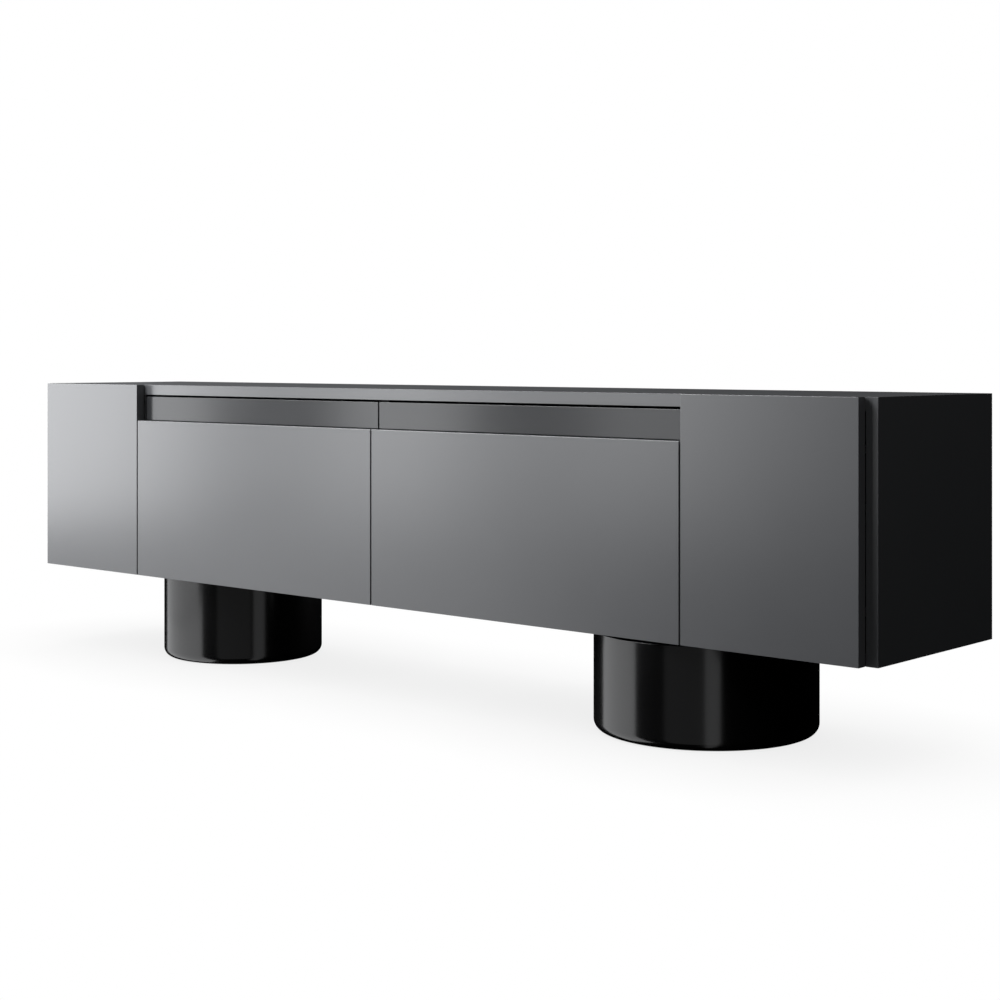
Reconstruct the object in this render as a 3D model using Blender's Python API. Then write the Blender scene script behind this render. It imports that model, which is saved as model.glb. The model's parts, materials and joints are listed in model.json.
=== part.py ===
"""Long low dresser on two drum feet, with two doors, two deep drawers and two slim drawers.

Metres, +Z up, front faces towards -Y. The origin is on the floor, under the middle of the body.
The shell is a mitred top and two sides. Doors and deep drawer faces stand proud of its front
edges, and the slim drawers lie back in a shadow channel under the top. Nothing has a handle:
doors and drawers are pushed to open.
"""
from collections import namedtuple
from math import cos, pi, sin, sqrt

import bmesh
import bpy
from mathutils import Matrix, Vector

# Overall sizes
WIDTH = 2.000
DEPTH = 0.372
BODY_HEIGHT = 0.383
FOOT_HEIGHT = 0.167

# Board thicknesses
SHELL = 0.020
FRONT_THICKNESS = 0.018
PARTITION = 0.018
BOTTOM = 0.018
DIVIDER = 0.012
SHELF = 0.018
BACK = 0.008

# Fronts
DOOR_MODULE = 0.310
FRONT_GAP = 0.003
FRONT_STANDOFF = 0.0017
SLIM_FRONT_HEIGHT = 0.047
SLIM_UPPER_GAP = 0.004
SLIM_LOWER_GAP = 0.001
EDGE_BEVEL = 0.0008

# Insets and clearances
TOUCH = 0.0003
BACK_INSET = 0.006
SHELF_SETBACK = 0.030
SLIM_SIDE_CLEARANCE = 0.0015
SLIM_TOP_CLEARANCE = 0.004
SLIM_BOX_RISE = 0.0015
REAR_CLEARANCE = 0.012
DEEP_BELOW = 0.012
DEEP_ABOVE = 0.030

# Drawer boxes
BOX_WALL = 0.012
SLIM_WALL = 0.010
DEEP_BOTTOM = 0.008
DEEP_BOTTOM_RAISE = 0.010
SLIM_BOTTOM = 0.004
SLIM_BOTTOM_RAISE = 0.003

# Drum feet
LEFT_FOOT_X = -0.561
LEFT_FOOT_RADIUS = 0.160
RIGHT_FOOT_X = 0.589
RIGHT_FOOT_RADIUS = 0.183
FOOT_FILLET = 0.017
FOOT_PLATE_THICKNESS = 0.004
FOOT_PLATE_RADIUS = 0.120

# Drawer runners
RUNNER_SPACE = 0.0127
RUNNER_SHEET = 0.0012
RAIL_HEIGHT = 0.045
RAIL_REACH = 0.0100
SLIDE_HEIGHT = 0.040
SLIDE_REACH = 0.0087
RUNNER_RISE = 0.060
RUNNER_FRONT_INSET = 0.004

# Concealed hinges
HINGE_INSET = 0.075
HINGE_AXIS_INSET = 0.003
CUP_EDGE = 0.005
CUP_RADIUS = 0.0175
CUP_DEPTH = 0.0115
CUP_SHEET = 0.0012
CUP_FLANGE_RADIUS = 0.0205
CUP_FLANGE = 0.0010
ARM_HEIGHT = 0.014
ARM_HALF_WIDTH = 0.006
ARM_REACH = 0.0033
ARM_PLATE_START = 0.024
ARM_PLATE_END = 0.072
ARM_PLATE_WIDTH = 0.013

# Push latches
LATCH_WIDTH = 0.012
LATCH_HEIGHT = 0.016
LATCH_LENGTH = 0.049
LATCH_SETBACK = 0.001
PLUNGER_RADIUS = 0.0030
PLUNGER_LENGTH = 0.030
PLUNGER_TRAVEL = 0.003
PLUNGER_CLEARANCE = 0.0003

# Facets around round pieces
DRUM_SIDES = 72
SMALL_SIDES = 24
FILLET_STEPS = 4
BEVEL_SEGMENTS = 1
SMOOTH_LIMIT = pi / 6

# Planes worked out from the sizes above
HALF = WIDTH / 2
FRONT_Y = -DEPTH / 2
BACK_Y = DEPTH / 2
FACE_BACK_Y = FRONT_Y + FRONT_THICKNESS
SHELL_Y = FACE_BACK_Y + FRONT_STANDOFF
SLIM_BACK_Y = SHELL_Y + FRONT_THICKNESS
BACK_PANEL_Y = BACK_Y - BACK_INSET - BACK
INSIDE_BACK_Y = BACK_PANEL_Y - TOUCH
BASE_Z = FOOT_HEIGHT
TOP_Z = BASE_Z + BODY_HEIGHT
FLOOR_Z = BASE_Z + BOTTOM
CEILING_Z = TOP_Z - SHELL
INNER_X = HALF - SHELL
SEAM_X = INNER_X - DOOR_MODULE
PARTITION_X = SEAM_X - FRONT_GAP / 2
PARTITION_OUTER_X = PARTITION_X + PARTITION
CENTRE_X = PARTITION / 2
SLIM_TOP_Z = CEILING_Z - SLIM_UPPER_GAP
SLIM_BOTTOM_Z = SLIM_TOP_Z - SLIM_FRONT_HEIGHT
FACE_TOP_Z = SLIM_BOTTOM_Z - SLIM_LOWER_GAP
DIVIDER_TOP_Z = SLIM_BOTTOM_Z + SLIM_BOX_RISE - TOUCH
DIVIDER_Z = DIVIDER_TOP_Z - DIVIDER
SHELF_Z = (FLOOR_Z + CEILING_Z - SHELF) / 2
HINGE_HEIGHTS = (("lower", BASE_Z + HINGE_INSET), ("upper", TOP_Z - HINGE_INSET))
SIDES = (("left", -1), ("right", 1))

Finish = namedtuple("Finish", "colour roughness metallic")
GRAPHITE = Finish((0.085, 0.088, 0.093), 0.42, 0.0)
CHANNEL_LACQUER = Finish((0.033, 0.033, 0.036), 0.30, 0.0)
BLACK_GLOSS = Finish((0.010, 0.010, 0.011), 0.12, 0.0)
DARK_BOARD = Finish((0.030, 0.031, 0.033), 0.55, 0.0)
STEEL = Finish((0.58, 0.58, 0.60), 0.32, 1.0)
GREY_PLASTIC = Finish((0.16, 0.16, 0.17), 0.48, 0.0)


def clear_objects():
    """Remove every object, so that the model starts from an empty scene."""
    for old in list(bpy.data.objects):
        bpy.data.objects.remove(old, do_unlink=True)


def make_material(name, finish):
    """Principled material with one finish's colour, roughness and metallic value."""
    material = bpy.data.materials.new(name)
    material.use_nodes = True
    shader = material.node_tree.nodes["Principled BSDF"]
    shader.inputs["Base Color"].default_value = (*finish.colour, 1.0)
    shader.inputs["Roughness"].default_value = finish.roughness
    shader.inputs["Metallic"].default_value = finish.metallic
    return material


def add_object(name, mesh_builder, location, finish, parent=None):
    """Object for one piece: its mesh lies about its own origin, which is put at location."""
    mesh = bpy.data.meshes.new(name)
    mesh_builder.to_mesh(mesh)
    mesh_builder.free()
    piece = bpy.data.objects.new(name, mesh)
    bpy.context.collection.objects.link(piece)
    piece.location = Vector(location)
    mesh.materials.append(make_material(name, finish))
    attach(piece, parent)
    return piece


def attach(piece, parent):
    """Parent a piece without moving it."""
    if parent is not None:
        piece.parent = parent
        piece.matrix_parent_inverse = Matrix.Translation(parent.location).inverted()


def add_axis(name, location):
    """Empty on a joint's axis, which carries the pieces that move together."""
    axis = bpy.data.objects.new(name, None)
    axis.location = Vector(location)
    bpy.context.collection.objects.link(axis)
    return axis


def ordered(a, b):
    """The two values with the lower one first."""
    return (a, b) if a < b else (b, a)


def add_board(name, xs, ys, zs, finish, parent=None, bevel=0.0):
    """Flat board between two corners, with its origin at its centre."""
    spans = [ordered(*pair) for pair in (xs, ys, zs)]
    centre = Vector([(low + high) / 2 for low, high in spans])
    size = [high - low for low, high in spans]
    board = bmesh.new()
    bmesh.ops.create_cube(board, size=1.0)
    bmesh.ops.scale(board, vec=size, verts=board.verts)
    piece = add_object(name, board, centre, finish, parent)
    if bevel:
        modifier = piece.modifiers.new("edge", "BEVEL")
        modifier.width = bevel
        modifier.segments = BEVEL_SEGMENTS
    return piece


def add_prism(name, outline, axis, span, finish, parent=None):
    """Extrusion of a flat outline along Y (outline in X, Z) or along Z (outline in X, Y)."""
    start, end = ordered(*span)
    prism = bmesh.new()
    if axis == "Y":
        points = [Vector((x, start, z)) for x, z in outline]
        along = Vector((0, end - start, 0))
    else:
        points = [Vector((x, y, start)) for x, y in outline]
        along = Vector((0, 0, end - start))
    centre = sum(points, Vector()) / len(points) + along / 2
    face = prism.faces.new([prism.verts.new(point - centre) for point in points])
    extruded = bmesh.ops.extrude_face_region(prism, geom=[face])
    moved = [item for item in extruded["geom"] if isinstance(item, bmesh.types.BMVert)]
    bmesh.ops.translate(prism, vec=along, verts=moved)
    bmesh.ops.recalc_face_normals(prism, faces=prism.faces)
    return add_object(name, prism, centre, finish, parent)


def turned(profile, sides, to_axis=None):
    """Turned solid from (radius, height) points that start and end on the axis."""
    solid = bmesh.new()
    points = [solid.verts.new((radius, 0, height)) for radius, height in profile]
    edges = [solid.edges.new(pair) for pair in zip(points, points[1:])]
    bmesh.ops.spin(solid, geom=points + edges, axis=(0, 0, 1), cent=(0, 0, 0), steps=sides,
                   angle=2 * pi, use_merge=True)
    bmesh.ops.remove_doubles(solid, verts=solid.verts, dist=TOUCH / 10)
    bmesh.ops.recalc_face_normals(solid, faces=solid.faces)
    if to_axis is not None:
        bmesh.ops.rotate(solid, matrix=to_axis, verts=solid.verts)
    return solid


def shade_round(piece):
    """Smooth shading, with creases kept sharp."""
    piece.data.shade_smooth()
    piece.data.set_sharp_from_angle(angle=SMOOTH_LIMIT)


def add_cutter(name, solid, location, target):
    """Hidden cutter taken out of a target by a Boolean difference."""
    mesh = bpy.data.meshes.new(name)
    solid.to_mesh(mesh)
    solid.free()
    cutter = bpy.data.objects.new(name, mesh)
    bpy.context.collection.objects.link(cutter)
    cutter.location = Vector(location)
    cutter.display_type = "WIRE"
    cutter.hide_render = True
    modifier = target.modifiers.new(name, "BOOLEAN")
    modifier.operation = "DIFFERENCE"
    modifier.object = cutter


def add_shell():
    """Top and sides, mitred together at the upper corners, with bottom and back between them."""
    mitre_drop = TOUCH * sqrt(2)
    top = [(-HALF, TOP_Z), (HALF, TOP_Z), (INNER_X, CEILING_Z), (-INNER_X, CEILING_Z)]
    add_prism("top_panel", top, "Y", (SHELL_Y, BACK_Y), GRAPHITE)
    for side, sign in SIDES:
        outline = [(sign * HALF, BASE_Z), (sign * HALF, TOP_Z - mitre_drop),
                   (sign * INNER_X, CEILING_Z - mitre_drop), (sign * INNER_X, BASE_Z)]
        add_prism(f"side_panel_{side}", outline, "Y", (SHELL_Y, BACK_Y), GRAPHITE)
    inside = (-INNER_X + TOUCH, INNER_X - TOUCH)
    add_board("bottom_panel", inside, (SHELL_Y, BACK_Y), (BASE_Z, FLOOR_Z), DARK_BOARD)
    add_board("back_panel", inside, (BACK_PANEL_Y, BACK_PANEL_Y + BACK),
              (FLOOR_Z + TOUCH, CEILING_Z - TOUCH), DARK_BOARD)


def add_partitions():
    """Upright partitions, the dividers under the slim drawers, and the shelves behind the doors."""
    upright = (FLOOR_Z + TOUCH, CEILING_Z - TOUCH)
    add_board("partition_centre", (-CENTRE_X, CENTRE_X), (SLIM_BACK_Y + TOUCH, INSIDE_BACK_Y),
              upright, DARK_BOARD)
    for side, sign in SIDES:
        add_board(f"partition_{side}", (sign * PARTITION_X, sign * PARTITION_OUTER_X),
                  (SHELL_Y, INSIDE_BACK_Y), upright, DARK_BOARD)
        add_board(f"divider_{side}", (sign * (CENTRE_X + TOUCH), sign * (PARTITION_X - TOUCH)),
                  (SLIM_BACK_Y + TOUCH, INSIDE_BACK_Y), (DIVIDER_Z, DIVIDER_TOP_Z), DARK_BOARD)
        add_board(f"shelf_{side}",
                  (sign * (PARTITION_OUTER_X + TOUCH), sign * (INNER_X - TOUCH)),
                  (SHELL_Y + SHELF_SETBACK, INSIDE_BACK_Y), (SHELF_Z, SHELF_Z + SHELF), DARK_BOARD)


def add_foot(side, centre_x, radius):
    """Drum foot with a rounded lower rim, and the steel plate that joins it to the bottom panel."""
    plate_z = BASE_Z - TOUCH - FOOT_PLATE_THICKNESS
    plate = turned([(0, 0), (FOOT_PLATE_RADIUS, 0), (FOOT_PLATE_RADIUS, FOOT_PLATE_THICKNESS),
                    (0, FOOT_PLATE_THICKNESS)], SMALL_SIDES)
    add_object(f"foot_plate_{side}", plate, (centre_x, 0, plate_z), STEEL)
    height = plate_z - TOUCH
    rim = [(radius - FOOT_FILLET * (1 - sin(step * pi / 2 / FILLET_STEPS)),
            FOOT_FILLET * (1 - cos(step * pi / 2 / FILLET_STEPS)))
           for step in range(FILLET_STEPS + 1)]
    drum = turned([(0, 0)] + rim + [(radius, height), (0, height)], DRUM_SIDES)
    shade_round(add_object(f"drum_foot_{side}", drum, (centre_x, 0, 0), BLACK_GLOSS))


def add_hinge(side, sign, level, height, door, axis):
    """Concealed hinge: the cup let into the door, and the arm on the side panel."""
    to_back = Matrix.Rotation(-pi / 2, 3, "X")
    cup_x = sign * (INNER_X - CUP_EDGE - CUP_RADIUS)
    bore_radius = CUP_RADIUS + TOUCH
    bore_depth = CUP_DEPTH + TOUCH
    bore = turned([(0, -bore_depth), (bore_radius, -bore_depth), (bore_radius, CUP_FLANGE),
                   (0, CUP_FLANGE)], SMALL_SIDES, to_back)
    add_cutter(f"hinge_bore_{side}_{level}", bore, (cup_x, FACE_BACK_Y, height), door)
    inner = CUP_RADIUS - CUP_SHEET
    rise = TOUCH + CUP_FLANGE
    profile = [(0, -CUP_DEPTH), (CUP_RADIUS, -CUP_DEPTH), (CUP_RADIUS, TOUCH),
               (CUP_FLANGE_RADIUS, TOUCH), (CUP_FLANGE_RADIUS, rise), (inner, rise),
               (inner, CUP_SHEET - CUP_DEPTH), (0, CUP_SHEET - CUP_DEPTH)]
    cup = turned(profile, SMALL_SIDES, to_back)
    shade_round(add_object(f"hinge_cup_{side}_{level}", cup, (cup_x, FACE_BACK_Y, height), STEEL,
                           axis))
    near = CUP_EDGE + CUP_RADIUS - ARM_HALF_WIDTH
    far = CUP_EDGE + CUP_RADIUS + ARM_HALF_WIDTH
    tip_y = FACE_BACK_Y - ARM_REACH
    outline = [(TOUCH, SHELL_Y + ARM_PLATE_END), (TOUCH, SHELL_Y + ARM_PLATE_START),
               (near, SHELL_Y + ARM_REACH), (near, tip_y), (far, tip_y),
               (far, SHELL_Y + ARM_HALF_WIDTH),
               (ARM_PLATE_WIDTH, SHELL_Y + ARM_PLATE_START + ARM_REACH),
               (ARM_PLATE_WIDTH, SHELL_Y + ARM_PLATE_END)]
    points = [(sign * (INNER_X - inward), y) for inward, y in outline]
    add_prism(f"hinge_arm_{side}_{level}", points, "Z",
              (height - ARM_HEIGHT / 2, height + ARM_HEIGHT / 2), STEEL)


def add_latch(side, sign, axis_height):
    """Push latch on the partition: a bored housing and the sprung plunger that meets the door."""
    near = PARTITION_OUTER_X + TOUCH
    front_y = SHELL_Y + LATCH_SETBACK
    centre_x = sign * (near + LATCH_WIDTH / 2)
    housing = add_board(f"latch_housing_{side}", (sign * near, sign * (near + LATCH_WIDTH)),
                        (front_y, front_y + LATCH_LENGTH),
                        (axis_height - LATCH_HEIGHT / 2, axis_height + LATCH_HEIGHT / 2),
                        GREY_PLASTIC)
    tip_y = FACE_BACK_Y + TOUCH
    end_y = tip_y + PLUNGER_LENGTH
    bore_end = end_y + PLUNGER_TRAVEL + PLUNGER_CLEARANCE
    bore_radius = PLUNGER_RADIUS + PLUNGER_CLEARANCE
    to_back = Matrix.Rotation(-pi / 2, 3, "X")
    bore = turned([(0, 0), (bore_radius, 0), (bore_radius, bore_end - tip_y),
                   (0, bore_end - tip_y)], SMALL_SIDES, to_back)
    add_cutter(f"latch_bore_{side}", bore, (centre_x, tip_y, axis_height), housing)
    axis = add_axis(f"latch_{side}_slide", (centre_x, tip_y, axis_height))
    nose = PLUNGER_RADIUS / 2
    plunger = turned([(0, 0), (nose, 0), (PLUNGER_RADIUS, nose), (PLUNGER_RADIUS, PLUNGER_LENGTH),
                      (0, PLUNGER_LENGTH)], SMALL_SIDES, to_back)
    shade_round(add_object(f"latch_plunger_{side}", plunger, (centre_x, tip_y, axis_height),
                           GREY_PLASTIC, axis))


def add_door(side, sign):
    """Full-height door with its hinges and push latch. It turns about its front outer corner."""
    axis = add_axis(f"door_{side}_axis",
                    (sign * (INNER_X - HINGE_AXIS_INSET), FRONT_Y + HINGE_AXIS_INSET, BASE_Z))
    door = add_board(f"door_{side}", (sign * (SEAM_X + FRONT_GAP / 2), sign * INNER_X),
                     (FRONT_Y, FACE_BACK_Y), (BASE_Z, TOP_Z), GRAPHITE, axis, EDGE_BEVEL)
    for level, height in HINGE_HEIGHTS:
        add_hinge(side, sign, level, height, door, axis)
    add_latch(side, sign, (SHELF_Z + SHELF + CEILING_Z) / 2)


def add_box(prefix, sign, xs, ys, zs, wall, bottom, bottom_raise, bottom_y, axis):
    """Two sides, back and bottom of a drawer box. Its bottom starts at bottom_y."""
    near, far = xs
    back_y = ys[1]
    low, high = zs
    add_board(f"{prefix}_side_inner", (sign * near, sign * (near + wall)), ys, zs, DARK_BOARD,
              axis)
    add_board(f"{prefix}_side_outer", (sign * (far - wall), sign * far), ys, zs, DARK_BOARD, axis)
    between = (sign * (near + wall + TOUCH), sign * (far - wall - TOUCH))
    add_board(f"{prefix}_back", between, (back_y - wall, back_y), (low, high), DARK_BOARD, axis)
    add_board(f"{prefix}_bottom", between, (bottom_y, back_y - wall - TOUCH),
              (low + bottom_raise, low + bottom_raise + bottom), DARK_BOARD, axis)


def channel(web, reach, height, centre_z, sign):
    """Outline of a sheet channel whose web stands at web and whose flanges reach by reach."""
    direction = 1 if reach > 0 else -1
    inside = web + direction * RUNNER_SHEET
    tip = web + reach
    half = height / 2
    inner_half = half - RUNNER_SHEET
    shape = [(web, -half), (tip, -half), (tip, -inner_half), (inside, -inner_half),
             (inside, inner_half), (tip, inner_half), (tip, half), (web, half)]
    return [(sign * x, centre_z + z) for x, z in shape]


def add_runners(side, sign, limits, height, back_y, axis):
    """Pair of two-part runners: rails on the partitions, and slides on the drawer box."""
    rail_span = (SHELL_Y + RUNNER_FRONT_INSET, INSIDE_BACK_Y - TOUCH)
    slide_span = (SHELL_Y + RUNNER_FRONT_INSET, back_y)
    for place, wall_x, inward in (("inner", limits[0], 1), ("outer", limits[1], -1)):
        rail = channel(wall_x + inward * TOUCH, inward * RAIL_REACH, RAIL_HEIGHT, height, sign)
        add_prism(f"runner_rail_{side}_{place}", rail, "Y", rail_span, STEEL)
        slide_web = wall_x + inward * (RUNNER_SPACE - TOUCH)
        slide = channel(slide_web, -inward * SLIDE_REACH, SLIDE_HEIGHT, height, sign)
        add_prism(f"runner_slide_{side}_{place}", slide, "Y", slide_span, STEEL, axis)


def add_deep_drawer(side, sign):
    """Deep drawer: a proud face on a box that hangs on side runners."""
    axis = add_axis(f"deep_drawer_{side}_slide", (sign * SEAM_X / 2, FRONT_Y, BASE_Z))
    prefix = f"deep_drawer_{side}"
    add_board(f"{prefix}_face", (sign * FRONT_GAP / 2, sign * (SEAM_X - FRONT_GAP / 2)),
              (FRONT_Y, FACE_BACK_Y), (BASE_Z, FACE_TOP_Z), GRAPHITE, axis, EDGE_BEVEL)
    limits = (CENTRE_X, PARTITION_X)
    near = limits[0] + RUNNER_SPACE
    far = limits[1] - RUNNER_SPACE
    low = FLOOR_Z + DEEP_BELOW
    high = DIVIDER_Z - DEEP_ABOVE
    front_y = FACE_BACK_Y + TOUCH
    back_y = INSIDE_BACK_Y - REAR_CLEARANCE
    add_board(f"{prefix}_front", (sign * (near + BOX_WALL + TOUCH), sign * (far - BOX_WALL - TOUCH)),
              (front_y, front_y + BOX_WALL), (low, high), DARK_BOARD, axis)
    add_box(prefix, sign, (near, far), (front_y, back_y), (low, high), BOX_WALL, DEEP_BOTTOM,
            DEEP_BOTTOM_RAISE, front_y + BOX_WALL + TOUCH, axis)
    add_runners(side, sign, limits, low + RUNNER_RISE, back_y, axis)


def add_slim_drawer(side, sign):
    """Slim drawer: its front lies flush with the shell's edges, and its box runs on the divider."""
    axis = add_axis(f"slim_drawer_{side}_slide", (sign * SEAM_X / 2, SHELL_Y, SLIM_BOTTOM_Z))
    prefix = f"slim_drawer_{side}"
    add_board(f"{prefix}_front", (sign * FRONT_GAP / 2, sign * (PARTITION_X - FRONT_GAP)),
              (SHELL_Y, SLIM_BACK_Y), (SLIM_BOTTOM_Z, SLIM_TOP_Z), CHANNEL_LACQUER, axis,
              EDGE_BEVEL)
    near = CENTRE_X + SLIM_SIDE_CLEARANCE
    far = PARTITION_X - FRONT_GAP
    front_y = SLIM_BACK_Y + TOUCH
    zs = (DIVIDER_TOP_Z + TOUCH, SLIM_TOP_Z - SLIM_TOP_CLEARANCE)
    add_box(prefix, sign, (near, far), (front_y, INSIDE_BACK_Y - REAR_CLEARANCE), zs, SLIM_WALL,
            SLIM_BOTTOM, SLIM_BOTTOM_RAISE, front_y, axis)


def build():
    """Build the whole dresser."""
    clear_objects()
    add_shell()
    add_partitions()
    add_foot("left", LEFT_FOOT_X, LEFT_FOOT_RADIUS)
    add_foot("right", RIGHT_FOOT_X, RIGHT_FOOT_RADIUS)
    for side, sign in SIDES:
        add_door(side, sign)
        add_deep_drawer(side, sign)
        add_slim_drawer(side, sign)
    bpy.context.view_layer.update()


build()
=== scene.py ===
"""Looks of a long low dresser on two drum feet, with doors, deep drawers and slim drawers.

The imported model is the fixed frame. Each sub-assembly is a class that reads its places from that
frame, models its finer pieces there, dresses them, and lets them ride on the frame's bodies.
Metres, +Z up, fronts facing -Y.
"""

import json
import logging
from contextlib import contextmanager
from dataclasses import dataclass
from enum import Enum
from math import cos, pi, radians, sin
from typing import Any, Callable, Iterable, Iterator

import bmesh
import bpy
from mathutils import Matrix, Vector

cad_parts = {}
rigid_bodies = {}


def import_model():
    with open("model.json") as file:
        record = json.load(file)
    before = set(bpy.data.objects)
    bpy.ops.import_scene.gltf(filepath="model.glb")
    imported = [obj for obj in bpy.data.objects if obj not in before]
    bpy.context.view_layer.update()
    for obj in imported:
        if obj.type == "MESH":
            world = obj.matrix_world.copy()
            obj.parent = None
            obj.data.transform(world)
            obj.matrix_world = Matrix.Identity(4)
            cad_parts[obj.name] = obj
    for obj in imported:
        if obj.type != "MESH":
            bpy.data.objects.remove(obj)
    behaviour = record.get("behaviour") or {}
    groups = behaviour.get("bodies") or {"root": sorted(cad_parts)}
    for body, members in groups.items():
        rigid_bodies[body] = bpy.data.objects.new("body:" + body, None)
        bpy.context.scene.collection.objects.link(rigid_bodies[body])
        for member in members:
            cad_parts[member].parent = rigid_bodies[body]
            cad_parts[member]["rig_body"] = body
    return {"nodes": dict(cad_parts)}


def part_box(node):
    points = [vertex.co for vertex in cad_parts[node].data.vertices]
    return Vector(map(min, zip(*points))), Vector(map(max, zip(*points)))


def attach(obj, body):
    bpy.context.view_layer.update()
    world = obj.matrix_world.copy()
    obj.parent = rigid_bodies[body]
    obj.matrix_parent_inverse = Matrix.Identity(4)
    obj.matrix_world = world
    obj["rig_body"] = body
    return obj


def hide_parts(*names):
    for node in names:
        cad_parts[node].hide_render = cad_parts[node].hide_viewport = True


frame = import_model()

Piece = bpy.types.Object
Edge = bmesh.types.BMEdge
Face = bmesh.types.BMFace
Socket = bpy.types.NodeSocket
Point = tuple[float, float, float]
Corner = Point | Vector
Span = tuple[float, float]

TOUCH = 0.0003  # space between pieces that count as touching
SAME_PLACE = TOUCH / 6  # places closer than this are the same
MERGE = 0.000002  # points closer than this become one
ALIGNED = 0.99  # cosine from which two directions are the same
SMOOTH_LIMIT = radians(38)
BOARD_ARRIS = 0.0006
BOARD_SEGMENTS = 2
WHOLE_NOISE = (0.0, 1.0)
MIDDLE_NOISE = (0.3, 0.7)
ARC_RADIUS = 2.1
CARD_COLOUR = (0.975, 0.985, 1.0)
WHITE = (1.0, 1.0, 1.0, 1.0)

log = logging.getLogger("dresser")


class Side(Enum):
    """The two ends of the dresser, by the sign of their X."""

    LEFT = -1
    RIGHT = 1

    @property
    def word(self) -> str:
        """Name of the side in the frame's node names."""
        return self.name.lower()


class Facing(Enum):
    """Direction that a round piece points in, as its turn from +Z about X, Y and Z."""

    UP = (0.0, 0.0, 0.0)
    TO_LEFT = (0.0, -pi / 2, 0.0)
    TO_RIGHT = (0.0, pi / 2, 0.0)
    TO_BACK = (-pi / 2, 0.0, 0.0)

    @classmethod
    def along_x(cls, sign: int) -> "Facing":
        """To the right for a positive sign, to the left for a negative one."""
        return cls.TO_RIGHT if sign > 0 else cls.TO_LEFT


class Element(Enum):
    """What is picked in edit mode, with the name of its list in a mesh."""

    FACE = "faces"
    EDGE = "edges"
    VERT = "verts"


# ------------------------------------------------------------------ finishes


class Pattern:
    """Node material in the making: one Principled shader, fed by textures on Object coordinates."""

    def __init__(self, name: str) -> None:
        """Start a material.

        Args:
            name: the material's name.
        """
        self.material = bpy.data.materials.new(name)
        self.material.use_nodes = True
        self.tree = self.material.node_tree
        self.shader = self.tree.nodes["Principled BSDF"]
        self.place = self.tree.nodes.new("ShaderNodeTexCoord").outputs["Object"]

    def fixed(self, **values: float) -> None:
        """Set shader sockets that are the same all over.

        Args:
            values: socket name, with underscores for spaces, and its value.
        """
        for name, value in values.items():
            socket = name.replace("_", " ").title().replace("Ior", "IOR")
            self.shader.inputs[socket].default_value = value

    def noise(self, size: float, detail: float = 2.0, stretch: Point = (1.0, 1.0, 1.0)) -> Socket:
        """Noise of a real feature size.

        Args:
            size: width of one feature.
            detail: how many finer layers it has.
            stretch: how much closer the features lie along X, Y and Z.

        Returns:
            The texture's value socket.
        """
        mapping = self.tree.nodes.new("ShaderNodeMapping")
        mapping.inputs["Scale"].default_value = stretch
        self.tree.links.new(self.place, mapping.inputs["Vector"])
        texture = self.tree.nodes.new("ShaderNodeTexNoise")
        texture.inputs["Scale"].default_value = 1.0 / size
        texture.inputs["Detail"].default_value = detail
        self.tree.links.new(mapping.outputs["Vector"], texture.inputs["Vector"])
        return texture.outputs["Fac"]

    def cells(self, size: float) -> Socket:
        """Voronoi cells of a real size, each with its own grey.

        Args:
            size: width of one cell.

        Returns:
            The texture's colour socket.
        """
        texture = self.tree.nodes.new("ShaderNodeTexVoronoi")
        texture.inputs["Scale"].default_value = 1.0 / size
        self.tree.links.new(self.place, texture.inputs["Vector"])
        return texture.outputs["Color"]

    def colour(self, colour: Point, change: float, source: Socket,
               reach: Span = MIDDLE_NOISE) -> None:
        """Let the base colour wander a little about its mean.

        Args:
            colour: the mean colour.
            change: share by which it gets lighter or darker.
            source: socket that says where it does.
            reach: the noise values that stand for dark and light; beyond them it levels off.
        """
        ramp = self.tree.nodes.new("ShaderNodeValToRGB")
        dark, light = ramp.color_ramp.elements
        dark.position, light.position = reach
        dark.color = (*[channel * (1 - change) for channel in colour], 1.0)
        light.color = (*[channel * (1 + change) for channel in colour], 1.0)
        self.tree.links.new(source, ramp.inputs["Fac"])
        self.tree.links.new(ramp.outputs["Color"], self.shader.inputs["Base Color"])

    def roughness(self, sheen: Span, source: Socket, reach: Span = MIDDLE_NOISE) -> None:
        """Let the roughness wander between two values.

        Args:
            sheen: the lowest and the highest roughness.
            source: socket that says where it is low or high.
            reach: the noise values that stand for low and high; beyond them it levels off.
        """
        spread = self.tree.nodes.new("ShaderNodeMapRange")
        for name, value in zip(("From Min", "From Max", "To Min", "To Max"), (*reach, *sheen)):
            spread.inputs[name].default_value = value
        self.tree.links.new(source, spread.inputs["Value"])
        self.tree.links.new(spread.outputs["Result"], self.shader.inputs["Roughness"])

    def relief(self, *layers: tuple[Socket, float]) -> None:
        """Stack bumps of real height.

        Args:
            layers: (value socket, height) pairs, the coarsest first.
        """
        below = None
        for source, height in layers:
            bump = self.tree.nodes.new("ShaderNodeBump")
            bump.inputs["Distance"].default_value = height
            self.tree.links.new(source, bump.inputs["Height"])
            if below is not None:
                self.tree.links.new(below, bump.inputs["Normal"])
            below = bump.outputs["Normal"]
        self.tree.links.new(below, self.shader.inputs["Normal"])


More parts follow.
